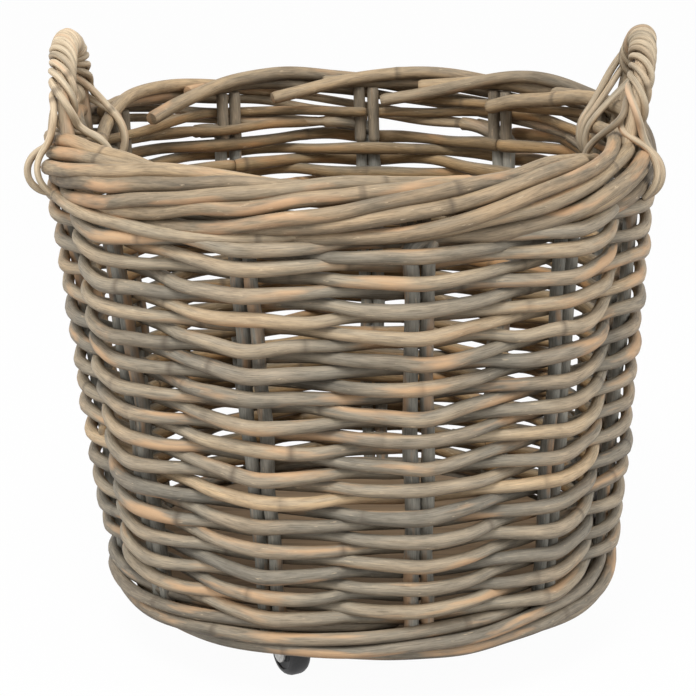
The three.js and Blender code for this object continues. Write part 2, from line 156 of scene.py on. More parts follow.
def plain_material(name, colour, roughness, metallic, fleck, fleck_size, bump_height):
    """One colour that drifts a little over fine flecks, which also stand out as a faint relief."""
    material = bpy.data.materials.new(name)
    material.use_nodes = True
    nodes = material.node_tree.nodes
    links = material.node_tree.links
    shader = nodes["Principled BSDF"]
    shader.inputs["Metallic"].default_value = metallic
    place = nodes.new("ShaderNodeTexCoord")
    flecks = nodes.new("ShaderNodeTexNoise")
    flecks.inputs["Scale"].default_value = fleck_size
    flecks.inputs["Detail"].default_value = 6
    links.new(place.outputs["Object"], flecks.inputs["Vector"])
    ramp = nodes.new("ShaderNodeValToRGB")
    ramp.color_ramp.elements[0].position = 0.32
    ramp.color_ramp.elements[0].color = tuple(channel * (1 - fleck) for channel in colour) + (1,)
    ramp.color_ramp.elements[1].position = 0.68
    ramp.color_ramp.elements[1].color = tuple(channel * (1 + fleck) for channel in colour) + (1,)
    links.new(flecks.outputs["Fac"], ramp.inputs["Fac"])
    links.new(ramp.outputs["Color"], shader.inputs["Base Color"])
    sheen = nodes.new("ShaderNodeMapRange")
    sheen.inputs["To Min"].default_value = roughness - 0.1
    sheen.inputs["To Max"].default_value = roughness + 0.1
    links.new(flecks.outputs["Fac"], sheen.inputs["Value"])
    links.new(sheen.outputs["Result"], shader.inputs["Roughness"])
    bump = nodes.new("ShaderNodeBump")
    bump.inputs["Strength"].default_value = 0.4
    bump.inputs["Distance"].default_value = bump_height
    links.new(flecks.outputs["Fac"], bump.inputs["Height"])
    links.new(bump.outputs["Normal"], shader.inputs["Normal"])
    return material


zinc = plain_material("zinc_plate", (0.56, 0.55, 0.53), 0.42, 0.45, 0.16, 420, 0.00012)
tyre_black = plain_material("moulded_tyre", (0.018, 0.018, 0.019), 0.5, 0.0, 0.35, 700, 0.0001)


def finish_piece(bm, name, body, material, slot, *nodes):
    bmesh.ops.recalc_face_normals(bm, faces=bm.faces)
    for face in bm.faces:
        face.smooth = True
    mesh = bpy.data.meshes.new(name)
    bm.to_mesh(mesh)
    bm.free()
    mesh.set_sharp_from_angle(angle=math.radians(SHARP_ANGLE))
    piece = bpy.data.objects.new(name, mesh)
    scene.collection.objects.link(piece)
    mesh.materials.append(material)
    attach(piece, body)
    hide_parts(*nodes)


def turn_profile(bm, profile, middle, axis, steps=64):
    """Spins a line of (radius, place along the axis) once round an upright or level axis."""
    arm = Vector((1, 0, 0))
    axis = Vector(axis)
    made = [bm.verts.new(Vector(middle) + arm * radius + axis * height) for radius, height in profile]
    edges = [bm.edges.new(pair) for pair in zip(made, made[1:])]
    bmesh.ops.spin(
        bm, geom=made + edges, cent=middle, axis=axis, angle=2 * math.pi, steps=steps, use_merge=True
    )
    bmesh.ops.remove_doubles(bm, verts=bm.verts, dist=WELD)


def cut_sheet(bm, outline, raise_by):
    """A flat sheet of the outline's points, thickened along raise_by, with its edges rolled over."""
    face = bm.faces.new([bm.verts.new(point) for point in outline])
    grown = bmesh.ops.extrude_face_region(bm, geom=[face])
    top = [item for item in grown["geom"] if isinstance(item, bmesh.types.BMVert)]
    bmesh.ops.translate(bm, verts=top, vec=Vector(raise_by) * SHEET)
    faces = {linked for vert in top for linked in vert.link_faces} | {face}
    bmesh.ops.recalc_face_normals(bm, faces=list(faces))
    edges = {edge for side in faces for edge in side.edges if edge.calc_face_angle(0) > CREASE}
    bmesh.ops.bevel(
        bm, geom=list(edges), offset=SHEET_ROUND, segments=2, profile=0.5, affect="EDGES", material=-1
    )


def arc(middle, radius, start, end, count):
    angles = np.radians(np.linspace(start, end, count))
    return [(middle[0] + radius * math.cos(a), middle[1] + radius * math.sin(a)) for a in angles]


for castor, heading in enumerate(CASTOR_HEADINGS, 1):
    azimuth = math.radians(FIRST_CASTOR + 90 * (castor - 1))
    station = Matrix.Translation(
        (FOOT_SHIFT + CASTOR_CIRCLE * math.sin(azimuth), -CASTOR_CIRCLE * math.cos(azimuth), 0)
    )
    upright = station @ Matrix.Rotation(azimuth, 4, "Z")
    swivel = station @ Matrix.Rotation(math.radians(heading - 90), 4, "Z")

    plate = bmesh.new()
    corners = []
    for quarter, (x, y) in enumerate(((1, 1), (-1, 1), (-1, -1), (1, -1))):
        middle = (x * PLATE_REACH, y * PLATE_REACH)
        corners += arc(middle, PLATE_CORNER, 90 * quarter, 90 * quarter + 90, 7)
    cut_sheet(plate, [(x, y, CASTOR_TOP - SHEET) for x, y in corners], (0, 0, 1))
    raceway = [(0.0125, CROWN_TOP + 0.0002), (0.0155, CROWN_TOP + 0.0003), (0.0162, CROWN_TOP + 0.0006),
               (0.0155, CROWN_TOP + 0.001), (0.0125, CROWN_TOP + 0.001)]
    turn_profile(plate, raceway, (0, 0, 0), (0, 0, 1))
    kingpin = [(0, 0.0462), (0.0045, 0.04625), (0.0066, 0.0467), (0.007, 0.0472), (0.007, 0.0477),
               (0.004, 0.0477), (0.004, 0.0515)]
    turn_profile(plate, kingpin, (0, 0, 0), (0, 0, 1), 40)
    screw = [(0, 0.0492), (0.0021, 0.0493), (0.0034, 0.0499), (0.0038, 0.0507), (0.0038, 0.0515)]
    for x in (-SCREW_REACH, SCREW_REACH):
        for y in (-SCREW_REACH, SCREW_REACH):
            turn_profile(plate, screw, (x, y, 0), (0, 0, 1), 24)
            groove = bmesh.ops.create_cube(plate, size=1)["verts"]
            bmesh.ops.scale(plate, verts=groove, vec=SCREW_GROOVE)
            bmesh.ops.translate(plate, verts=groove, vec=(x, y, SCREW_FACE))
    plate.transform(upright)
    finish_piece(plate, f"plate_with_screws_{castor}", "basket", zinc, "zinc_steel",
                 f"castor_{castor}_plate")

    fork = bmesh.new()
    crown = [(0.0043, 0.048), (0.0158, 0.048), (0.0166, 0.0483), (0.017, 0.049), (0.0166, 0.0501),
             (0.0158, 0.0505), (0.0043, 0.0505), (0.0043, 0.048)]
    turn_profile(fork, crown, (0, 0, 0), (0, 0, 1))
    for outer in (-1, 1):
        side = [(-FORK_HALF_WIDTH, FORK_TOP)]
        side += arc((TRAIL, AXLE_HEIGHT), FORK_END, 200, 372, 22)
        side.append((FORK_HALF_WIDTH, FORK_TOP))
        cut_sheet(fork, [(x, outer * FORK_INSIDE, z) for x, z in side], (0, outer, 0))
    fork.transform(swivel)
    finish_piece(fork, f"pressed_fork_{castor}", f"castor_{castor}_swivel", zinc, "zinc_steel",
                 f"castor_{castor}_fork")

    axle = bmesh.new()
    rivet = [(0, -0.0136), (0.003, -0.0135), (0.0046, -0.0129), (0.005, -0.0121), (0.003, -0.0121),
             (0.003, 0.0121), (0.005, 0.0121), (0.0046, 0.0129), (0.003, 0.0135), (0, 0.0136)]
    turn_profile(axle, rivet, (TRAIL, 0, AXLE_HEIGHT), (0, 1, 0), 32)
    axle.transform(swivel)
    finish_piece(axle, f"axle_rivet_{castor}", f"castor_{castor}_swivel", zinc, "zinc_steel",
                 f"castor_{castor}_axle")

    wheel = bmesh.new()
    half = [(0.02, 0.0), (0.0199, 0.0034), (0.0193, 0.0053), (0.0182, 0.0071), (0.0168, 0.0084),
            (0.0146, 0.009), (0.0139, 0.0086), (0.0136, 0.0076), (0.0086, 0.0066), (0.0078, 0.0072),
            (0.0074, 0.0086), (0.0068, 0.009), (0.0033, 0.009)]
    section = [(r, -h) for r, h in reversed(half[1:])] + half + [(0.0033, -0.009)]
    turn_profile(wheel, section, (TRAIL, 0, AXLE_HEIGHT), (0, 1, 0), 72)
    wheel.transform(swivel)
    finish_piece(wheel, f"moulded_wheel_{castor}", f"castor_{castor}_roller", tyre_black, "black_tyre",
                 f"castor_{castor}_wheel")


# Foot.
# A flat coil of rattan closes the bottom. Round the feet of the stakes lies a rope of eight rods, bent
# cold. Each comes up from below, ends under the weave and is held by its neighbours.
RIM_MIDDLE = 0.400003
RIM_RADIUS = 0.224003
RIM_UNDERSIDE = 0.374006
SIDE_LEAN = 0.032
STAND_LEVEL = 0.0543
STAKE_FOOT = 0.2004
STAKE_TOP_OUT = 0.0068
ROD_END = 0.03
ROD_END_TAPER = 0.86
ROD_WANDER = 0.11
GIRTH_WAVE = 0.16
GIRTH_SWELL = 0.035
RING_SWELL = 0.06
RING_WIDTH = 0.0032
GRAIN_ROUND = 0.005
rng = np.random.default_rng(1667)


def around(azimuth, radius, height):
    """Points round the leaning wall: azimuth in degrees from the front, radius and height in metres."""
    azimuth, radius, height = np.broadcast_arrays(np.radians(azimuth), radius, height)
    lean = SIDE_LEAN * (RIM_MIDDLE - height)
    return np.stack([lean + radius * np.sin(azimuth), -radius * np.cos(azimuth), height], axis=-1)


def wall_radius(height):
    share = (height - STAND_LEVEL) / (RIM_UNDERSIDE - STAND_LEVEL)
    return STAKE_FOOT + share * (RIM_RADIUS + STAKE_TOP_OUT - STAKE_FOOT)


def swell(along, wave):
    """A smooth random swing along a rod, about one in size, over lengths near the wave."""
    total = np.zeros_like(along)
    for _ in range(5):
        length = wave * rng.uniform(0.6, 2.2)
        total += np.sin(2 * math.pi * (along / length + rng.uniform()))
    return total / 2.5


def start_rods():
    bm = bmesh.new()
    bm.verts.layers.float_vector.new("grain")
    for layer in ("tone", "knot", "wear_and_highlight", "grey", "under", "inside"):
        bm.verts.layers.float.new(layer)
    return bm


def lay_rod(bm, line, thickness, tone, wear_and_highlight, grey=0.0, sides=12, wobble=0.5 * MM, knots=0.27, tall=None):
    """Rolls a grid round a rod's middle line and swells it at its growth rings. A tall rod is upright
    oval. Its attributes give the place along and across the grain, its tone, its wear (which on the
    weavers' outward bulges is partly a painted highlight), its greying, the dark rings, how far its skin
    faces down (for a painted shade on the underside) and how far it faces into the basket."""
    line = np.array(line, float)
    along = np.concatenate([[0], np.cumsum(np.linalg.norm(np.diff(line, axis=0), axis=1))])
    heading = np.gradient(line, axis=0)
    heading /= np.linalg.norm(heading, axis=1)[:, None]
    if tall is None:
        side = np.cross(heading[0], (0.31, 0.17, 0.93))
        sides_along = []
        for way in heading:
            side = side - way * (side @ way)
            side = side / np.linalg.norm(side)
            sides_along.append(side)
        across = np.array(sides_along)
    else:
        across = np.cross(heading, (0, 0, 1))
        across /= np.linalg.norm(across, axis=1)[:, None]
    upright = np.cross(across, heading)
    ends = np.clip(np.minimum(along, along[-1] - along) / ROD_END, 0, 1)
    line = line + across * (wobble * ends * swell(along, ROD_WANDER))[:, None]
    line = line + upright * (wobble * ends * swell(along, ROD_WANDER))[:, None]

    ring = np.zeros_like(along)
    knot = rng.uniform(0.03, knots)
    while knot < along[-1]:
        ring += np.exp(-(((along - knot) / RING_WIDTH) ** 2))
        knot += knots * rng.uniform(0.7, 1.35)
    radius = thickness / 2 * (1 + GIRTH_SWELL * swell(along, GIRTH_WAVE) + RING_SWELL * ring)
    radius[0] *= ROD_END_TAPER
    radius[-1] *= ROD_END_TAPER
    height = radius if tall is None else radius * tall

    values = {"tone": tone, "wear_and_highlight": wear_and_highlight, "grey": grey, "knot": ring, "under": 0.0, "inside": 0.0}
    values = {layer: np.broadcast_to(value, along.shape) for layer, value in values.items()}
    layers = {layer: bm.verts.layers.float[layer] for layer in values}
    grain = bm.verts.layers.float_vector["grain"]
    offset = rng.uniform(0, 40)
    made = bmesh.ops.create_grid(bm, x_segments=len(line) - 1, y_segments=sides, size=1)["verts"]
    for turn in range(sides + 1):
        out = math.cos(2 * math.pi * turn / sides)
        rise = math.sin(2 * math.pi * turn / sides)
        skin = line + across * (radius * out)[:, None] + upright * (height * rise)[:, None]
        # Painted shade: skin that faces down gets a higher under value, which the material darkens as the
        # shade under each rod.
        facing = across[:, 2] * out + upright[:, 2] * rise
        values["under"] = np.clip(0.1 - facing, 0, 1)
        for step, vert in enumerate(made[turn * len(line):(turn + 1) * len(line)]):
            vert.co = skin[step]
            vert[grain] = (offset + along[step], GRAIN_ROUND * out, GRAIN_ROUND * rise)
            for layer, place in layers.items():
                vert[place] = values[layer][step]
            if tall is not None:
                inner = max(0.0, -out)
                vert[layers["inside"]] = inner
                vert[layers["grey"]] *= 1 - inner
                vert[layers["wear_and_highlight"]] += 0.5 * inner * (1 - vert[layers["wear_and_highlight"]])
    seam = made[:len(line)] + made[-len(line):]
    bmesh.ops.remove_doubles(bm, verts=seam, dist=WELD)
    rims = [edge for vert in made if vert.is_valid for edge in vert.link_edges if edge.is_boundary]
    bmesh.ops.edgeloop_fill(bm, edges=list(set(rims)))


def finish_rods(bm, name, material, slot, *nodes):
    bmesh.ops.recalc_face_normals(bm, faces=bm.faces)
    for face in bm.faces:
        face.smooth = len(face.verts) == 4
    mesh = bpy.data.meshes.new(name)
    bm.to_mesh(mesh)
    bm.free()
    piece = bpy.data.objects.new(name, mesh)
    scene.collection.objects.link(piece)
    mesh.materials.append(material)
    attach(piece, "basket")
    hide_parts(*nodes)


def rattan(name, shades, wear_and_highlight_colour, ember_colour, grey_colour, ring_colour, roughness):
    """Weathered rattan: slow patches of colour along each rod, tan patches of wear, which on the weavers'
    outward bulges are partly a painted highlight, greyed stretches, reddish spots, painted shade on the
    undersides, browner insides, fine fibres, dark growth rings and a few pale scuffs."""
    material = bpy.data.materials.new(name)
    material.use_nodes = True
    nodes = material.node_tree.nodes
    links = material.node_tree.links
    shader = nodes["Principled BSDF"]
    shader.inputs["Specular IOR Level"].default_value = 0.3

    def attribute(layer):
        node = nodes.new("ShaderNodeAttribute")
        node.attribute_name = layer
        return node

    def noise(stretch, detail, rough):
        mapping = nodes.new("ShaderNodeMapping")
        mapping.inputs["Scale"].default_value = stretch
        links.new(grain.outputs["Vector"], mapping.inputs["Vector"])
        texture = nodes.new("ShaderNodeTexNoise")
        texture.inputs["Scale"].default_value = 1.0
        texture.inputs["Detail"].default_value = detail
        texture.inputs["Roughness"].default_value = rough
        links.new(mapping.outputs["Vector"], texture.inputs["Vector"])
        return texture.outputs["Fac"]

    def span(value, low, high, to_low, to_high):
        node = nodes.new("ShaderNodeMapRange")
        ends = {"From Min": low, "From Max": high, "To Min": to_low, "To Max": to_high}
        for socket, number in ends.items():
            node.inputs[socket].default_value = number
        links.new(value, node.inputs["Value"])
        return node.outputs["Result"]

    def combine(kind, first, second):
        node = nodes.new("ShaderNodeMath")
        node.operation = kind
        links.new(first, node.inputs[0])
        links.new(second, node.inputs[1])
        return node.outputs[0]

    def ramp(value, stops):
        node = nodes.new("ShaderNodeValToRGB")
        node.color_ramp.elements.remove(node.color_ramp.elements[1])
        for place, colour in stops:
            stop = node.color_ramp.elements.new(place)
            stop.color = colour + (1,)
        node.color_ramp.elements.remove(node.color_ramp.elements[0])
        links.new(value, node.inputs["Fac"])
        return node.outputs["Color"]

    def mix(kind, share, first, second):
        node = nodes.new("ShaderNodeMix")
        node.data_type = "RGBA"
        node.blend_type = kind
        if isinstance(share, float):
            node.inputs[0].default_value = share
        else:
            links.new(share, node.inputs[0])
        links.new(first, node.inputs[6])
        if isinstance(second, tuple):
            node.inputs[7].default_value = second + (1,)
        else:
            links.new(second, node.inputs[7])
        return node.outputs[2]

    grain = attribute("grain")
    patches = noise((9, 120, 120), 4, 0.6)
    tone = span(attribute("tone").outputs["Fac"], 0, 1, 0.2, 0.8)
    shade = combine("ADD", tone, span(patches, 0.3, 0.7, -0.26, 0.26))
    colour = ramp(shade, shades)
    # Tan patches of wear: real wear on most rods, and on the weavers' outward bulges also a painted
    # highlight.
    wear_and_highlight_patches = span(noise((16, 110, 110), 4, 0.6), 0.32, 0.72, 0, 1)
    wear_and_highlight = combine("MULTIPLY", attribute("wear_and_highlight").outputs["Fac"], wear_and_highlight_patches)
    colour = mix("MIX", wear_and_highlight, colour, wear_and_highlight_colour)
    colour = mix("MIX", span(attribute("grey").outputs["Fac"], 0, 1, 0, 0.85), colour, grey_colour)
    fibres = noise((70, 1500, 1500), 5, 0.62)
    streaks = ramp(
        fibres, ((0.28, (0.58, 0.57, 0.55)), (0.5, (0.96, 0.96, 0.95)), (0.72, (1.16, 1.14, 1.1)))
    )
    colour = mix("MULTIPLY", 1.0, colour, streaks)
    blotches = noise((42, 240, 240), 3, 0.65)
    mottle = ramp(
        blotches, ((0.3, (0.74, 0.74, 0.73)), (0.5, (1.0, 1.0, 0.99)), (0.7, (1.14, 1.13, 1.11)))
    )
    colour = mix("MULTIPLY", 1.0, colour, mottle)
    embers = span(noise((11, 75, 75), 3, 0.55), 0.558, 0.675, 0.0, 0.82)
    colour = mix("MIX", embers, colour, ember_colour)
    # Painted shade: the under attribute darkens the skin that faces down.
    colour = mix("MULTIPLY", attribute("under").outputs["Fac"], colour, (0.5, 0.45, 0.4))
    colour = mix("MULTIPLY", attribute("inside").outputs["Fac"], colour, (0.82, 0.70, 0.52))
    scuffs = span(noise((70, 420, 420), 4, 0.62), 0.64, 0.73, 0.0, 0.6)
    colour = mix("MIX", scuffs, colour, (0.62, 0.49, 0.33))
    rings = span(attribute("knot").outputs["Fac"], 0.25, 0.95, 0.0, 0.6)
    colour = mix("MIX", rings, colour, ring_colour)
    links.new(colour, shader.inputs["Base Color"])
    links.new(span(fibres, 0.3, 0.7, roughness + 0.1, roughness - 0.1), shader.inputs["Roughness"])

    bump = nodes.new("ShaderNodeBump")
    bump.inputs["Strength"].default_value = 0.45
    bump.inputs["Distance"].default_value = 0.0007
    links.new(fibres, bump.inputs["Height"])
    links.new(bump.outputs["Normal"], shader.inputs["Normal"])
    return material


weathered = rattan(
    "weathered_rattan",
    shades=(
        (0.05, (0.122, 0.104, 0.080)),
        (0.3, (0.232, 0.198, 0.150)),
        (0.5, (0.335, 0.278, 0.202)),
        (0.7, (0.432, 0.340, 0.230)),
        (0.95, (0.56, 0.400, 0.238)),
    ),
    wear_and_highlight_colour=(0.56, 0.395, 0.235),
    ember_colour=(0.53, 0.335, 0.185),
    grey_colour=(0.185, 0.178, 0.156),
    ring_colour=(0.075, 0.055, 0.038),
    roughness=0.62,
)

COIL_RADIUS = 0.1995
COIL_MIDDLE = 0.0489
COIL_TURNS = 1.75
COIL_PITCH = 0.0106
COIL_ROD = 0.0108
HOOP_RODS = 8
HOOP_START = 20.0
HOOP_REACH = 168.0
HOOP_RING = 0.2005
HOOP_MIDDLE = 0.0554
HOOP_ROLL = 0.0112
HOOP_ROLL_START = -115.0
HOOP_ROLL_END = 98.0
HOOP_TUCK = 0.0095
HOOP_TUCK_FROM = 0.8
FOOT_ROD = 0.0101

coil = start_rods()
coil_turns = np.linspace(0, COIL_TURNS, 600)
coil_line = around(180 - 360 * coil_turns, COIL_RADIUS - COIL_PITCH * coil_turns, COIL_MIDDLE)
lay_rod(coil, coil_line, COIL_ROD, tone=0.3, wear_and_highlight=0.5, grey=0.25)
finish_rods(coil, "bottom_coil", weathered, "rattan", "foot_coil")

hoop = start_rods()
hoop_share = np.linspace(0, 1, 170)
hoop_roll = np.radians(HOOP_ROLL_START + (HOOP_ROLL_END - HOOP_ROLL_START) * hoop_share)
hoop_tuck = HOOP_TUCK * np.clip((hoop_share - HOOP_TUCK_FROM) / (1 - HOOP_TUCK_FROM), 0, 1) ** 2
hoop_radius = HOOP_RING + HOOP_ROLL * np.cos(hoop_roll) - hoop_tuck
hoop_height = HOOP_MIDDLE + HOOP_ROLL * np.sin(hoop_roll)
for rod in range(HOOP_RODS):
    hoop_turn = HOOP_START + 360 / HOOP_RODS * rod + HOOP_REACH * hoop_share
    hoop_line = around(hoop_turn, hoop_radius, hoop_height)
    hoop_rod = FOOT_ROD * rng.uniform(0.94, 1.08)
    # The foot rods are given a darker, greyer tone than the weave above.
    tone = rng.uniform(-0.12, 0.2)
    lay_rod(hoop, hoop_line, hoop_rod, wobble=0.9 * MM, tone=tone, wear_and_highlight=0.3, grey=rng.uniform(0.2, 0.65))
finish_rods(hoop, "bottom_hoop", weathered, "rattan", "foot_hoop")


# Base board.
# A round panel of brown plywood lies on the coil inside the feet of the stakes. Its bevelled upper edge
# slips under the first weavers, which hold it down.
BOARD_TOP = 0.0633

stained_ply = bpy.data.materials.new("stained_plywood")
stained_ply.use_nodes = True
ply_nodes = stained_ply.node_tree.nodes
ply_links = stained_ply.node_tree.links
ply_place = ply_nodes.new("ShaderNodeTexCoord")
ply_stretch = ply_nodes.new("ShaderNodeMapping")
ply_stretch.inputs["Scale"].default_value = (3, 45, 240)
ply_links.new(ply_place.outputs["Object"], ply_stretch.inputs["Vector"])
ply_grain = ply_nodes.new("ShaderNodeTexNoise")
ply_grain.inputs["Scale"].default_value = 1.6
ply_grain.inputs["Detail"].default_value = 8
ply_grain.inputs["Roughness"].default_value = 0.62
ply_grain.inputs["Distortion"].default_value = 1.1
ply_links.new(ply_stretch.outputs["Vector"], ply_grain.inputs["Vector"])
ply_colour = ply_nodes.new("ShaderNodeValToRGB")
ply_colour.color_ramp.elements[0].position = 0.3
ply_colour.color_ramp.elements[0].color = (0.17, 0.112, 0.062, 1)
ply_colour.color_ramp.elements[1].position = 0.7
ply_colour.color_ramp.elements[1].color = (0.36, 0.25, 0.148, 1)
ply_links.new(ply_grain.outputs["Fac"], ply_colour.inputs["Fac"])
ply_links.new(ply_colour.outputs["Color"], ply_nodes["Principled BSDF"].inputs["Base Color"])
ply_nodes["Principled BSDF"].inputs["Roughness"].default_value = 0.7
ply_bump = ply_nodes.new("ShaderNodeBump")
ply_bump.inputs["Strength"].default_value = 0.3
ply_bump.inputs["Distance"].default_value = 0.0004
ply_links.new(ply_grain.outputs["Fac"], ply_bump.inputs["Height"])
ply_links.new(ply_bump.outputs["Normal"], ply_nodes["Principled BSDF"].inputs["Normal"])

board = bmesh.new()
board_edge = [(0, STAND_LEVEL), (0.1926, STAND_LEVEL), (0.1934, STAND_LEVEL + 0.0008), (0.1934, 0.0577),
              (0.1929, 0.0585), (0.1846, 0.0628), (0.1835, BOARD_TOP), (0, BOARD_TOP)]
turn_profile(board, board_edge, (FOOT_SHIFT, 0, 0), (0, 0, 1), 128)
finish_piece(board, "plywood_floor", "basket", stained_ply, "plywood", "base_board")


# Stakes and border.
# Pairs of thicker rods stand in the wall. At the top each turns in and is wound over its neighbours, up
# the outside of the border and over its crown, where the second of a pair is cut off. The first goes on
# down the inside. Short props beside the stakes carry the border from within.
STAKE = 0.011
STAKE_PAIRS = 11
STAKE_PITCH = 360 / STAKE_PAIRS
FIRST_STAKE = -53.0
PAIR_SPREAD = 0.0062
STAKE_CLEAR = 0.0006
STAKE_TURN = 0.3695
ROLL_RADIUS = 0.0212
SECOND_RADIUS = 0.0180
SECOND_LAG = 13.6
ROLL_START = -95.0
ROLL_END = 172.0
SECOND_END = 110.0
ROLL_CLIMB = 2.0625
ROLL_END_SPREAD = 14
STAKE_BEND = 8.0
BEND_LIFT = 0.006
UPRIGHT_STEPS = 70
BEND_STEPS = 17
RUN_STEPS = 139
TAIL_THICKER = 0.05
TAIL_THINNED = 0.34
PROP = 0.0104
PROP_OVERLAP = 0.006
PROP_TOP = 0.4125
PROP_OFFSET = -0.0015
HUMP = 0.0050
HUMP_AT = 92
HUMP_WIDTH = 32
BACK_RISE = 0.0080
BACK_RISE_AT = 122.0
BACK_RISE_WIDTH = 28.0
rng = np.random.default_rng(22)

border_rattan = rattan(
    "border_rattan",
    shades=(
        (0.05, (0.080, 0.067, 0.051)),
        (0.3, (0.152, 0.127, 0.095)),
        (0.5, (0.218, 0.179, 0.129)),
        (0.7, (0.293, 0.232, 0.158)),
        (0.95, (0.41, 0.298, 0.180)),
    ),
    wear_and_highlight_colour=(0.49, 0.346, 0.206),
    ember_colour=(0.51, 0.314, 0.174),
    grey_colour=(0.305, 0.302, 0.275),
    ring_colour=(0.08, 0.06, 0.042),
    roughness=0.64,
)


def back_rise(azimuth):
    """The border isn't quite level: it climbs a little at the back, right of the middle."""
    away = (azimuth - BACK_RISE_AT + 180) % 360 - 180
    return BACK_RISE * np.exp(-((away / BACK_RISE_WIDTH) ** 2))


def beside_border(azimuth, angle, distance):
    turn = np.radians(angle)
    middle = RIM_MIDDLE + back_rise(azimuth)
    return around(azimuth, RIM_RADIUS + distance * np.cos(turn), middle + distance * np.sin(turn))


def stake_line(azimuth, second):
    """A stake's middle line from its foot to its cut end, and where on it the stake is greyed, turns to
    the inside of the border, or lies loose low at the back."""
    side = PAIR_SPREAD if second else -PAIR_SPREAD
    top_turn = math.degrees(side / wall_radius(RIM_UNDERSIDE))
    pair_turn = math.degrees(PAIR_SPREAD / wall_radius(RIM_UNDERSIDE))
    roll_start = azimuth - pair_turn + (SECOND_LAG if second else 0)
    roll_end = (SECOND_END if second else ROLL_END) + rng.uniform(-ROLL_END_SPREAD, ROLL_END_SPREAD)
    roll_radius = SECOND_RADIUS if second else ROLL_RADIUS

    def on_roll(at):
        angle = ROLL_START + (at - roll_start) * ROLL_CLIMB
        behind = 0.5 - 0.5 * np.cos(np.radians(at))
        arched = (0 if second else HUMP) * behind * np.exp(-(((angle - HUMP_AT) / HUMP_WIDTH) ** 2))
        return beside_border(at, angle, roll_radius + arched)

    heights = np.linspace(STAND_LEVEL + STAKE_CLEAR, STAKE_TURN, UPRIGHT_STEPS)
    upright = around(azimuth + np.degrees(side / wall_radius(heights)), wall_radius(heights), heights)
    joins = azimuth + top_turn
    level = joins + STAKE_BEND
    cut = roll_start + (roll_end - ROLL_START) / ROLL_CLIMB
    share = np.linspace(0, 1, BEND_STEPS + 1)[1:, None]
    over = upright[-1] + (0, 0, BEND_LIFT)
    under = on_roll(joins + STAKE_BEND / 3)
    bend = (
        (1 - share) ** 3 * upright[-1]
        + 3 * share * (1 - share) ** 2 * over
        + 3 * share**2 * (1 - share) * under
        + share**3 * on_roll(level)
    )
    run = np.linspace(level, cut, RUN_STEPS + 1)[1:]
    line = np.concatenate([upright, bend, on_roll(run)])
    greyed = np.concatenate([np.ones(UPRIGHT_STEPS), np.linspace(1, 0, BEND_STEPS), np.zeros(RUN_STEPS)])
    before_roll = np.zeros(UPRIGHT_STEPS + BEND_STEPS)
    angle = ROLL_START + (run - roll_start) * ROLL_CLIMB
    inner = np.concatenate([before_roll, np.clip((angle - 60) / 60, 0, 1)])
    at_back = np.clip((-0.15 - np.cos(np.radians(run))) / 0.4, 0, 1)
    loose = np.concatenate([before_roll, at_back * np.clip((45 - angle) / 40, 0, 1)])
    return line, greyed, inner, loose


for pair in range(STAKE_PAIRS):
    for letter in "ab":
        number = f"{pair + 1:02d}{letter}"
        stake = start_rods()
        azimuth = FIRST_STAKE + pair * STAKE_PITCH
        line, greyed, inner, loose = stake_line(azimuth, letter == "b")
        thickness = STAKE * (1.0 + TAIL_THICKER * (1 - greyed)) * rng.uniform(0.96, 1.08)
        thickness = thickness * (1 - TAIL_THINNED * loose)
        # The tails that run down the inside of the border get a lighter tone, a painted light that makes
        # up for the shade they lie in.
        tone = rng.uniform(0.16, 1.0) + 0.62 * inner
        wear_and_highlight = rng.uniform(0.2, 0.8) * (1 - greyed) * (1 - 0.1 * inner)
        lay_rod(stake, line, thickness, wobble=1.1 * MM, tone=tone, wear_and_highlight=wear_and_highlight, grey=greyed, knots=0.38)
        heights = np.linspace(STAKE_TURN - PROP_OVERLAP, PROP_TOP + back_rise(azimuth), 16)
        side = PAIR_SPREAD if letter == "b" else -PAIR_SPREAD
        prop = around(azimuth + math.degrees(side / RIM_RADIUS), RIM_RADIUS + PROP_OFFSET, heights)
        lay_rod(stake, prop, PROP, wobble=0.3 * MM, tone=0.3, wear_and_highlight=0.4, grey=0.2)
        finish_rods(stake, f"border_stake_{number}", border_rattan, "stake_rattan", f"stake_{number}")


# Weave.
# Rods of rattan run round the wall in one rising line, outside one pair of stakes and inside the next.
# Each is cut behind a pair, where the next one takes over, or a little past it, where its end stands off.
# At the top they are pressed under the border, with one more rod packed in at the front left.
WEAVER = 0.0104
WEAVE_START = 0.06955
WEAVE_PITCH = 0.0104
PASSES = 314
PASSES_PER_WEAVER = 40
PASSES_PER_ROD = 14
POINTS_PER_PASS = 24
LAST_PASSES = 11
LAST_PITCH = 0.7 * WEAVE_PITCH
TOP_PIECE = (15, 20)
SWING = 0.0114
WALL_OUT = 0.0006
PASS_LIFT = 0.0012
SAG = 0.0014
FRONT_SAG = 0.0015
LOW_SAG = 0.0031
LOW_SAG_PASSES = 130
KINK = 0.0022
KINK_CHANGE = 0.0011
KINK_WIDTH = 0.17
FOOT_PASSES = 30
FOOT_RISE = 0.0052
DRAWN_IN = 0.28
DRAWN_IN_PASSES = 14
END_GAP = 0.003
RUN_ON = 0.38
RUN_ON_OUT = 0.009
RUN_ON_DROP = 0.002
CORE_ROW_START = 0.3803
CORE_ROD = 0.0086
CORE_SWING = 0.0093
PACKING_REACH = 45.0
PACKING_MIDDLE = 0.3788
PACKING_RISE = 0.006
PACKING_OUT = 0.0185
PACKING_IN = 0.012
rng = np.random.default_rng(314)


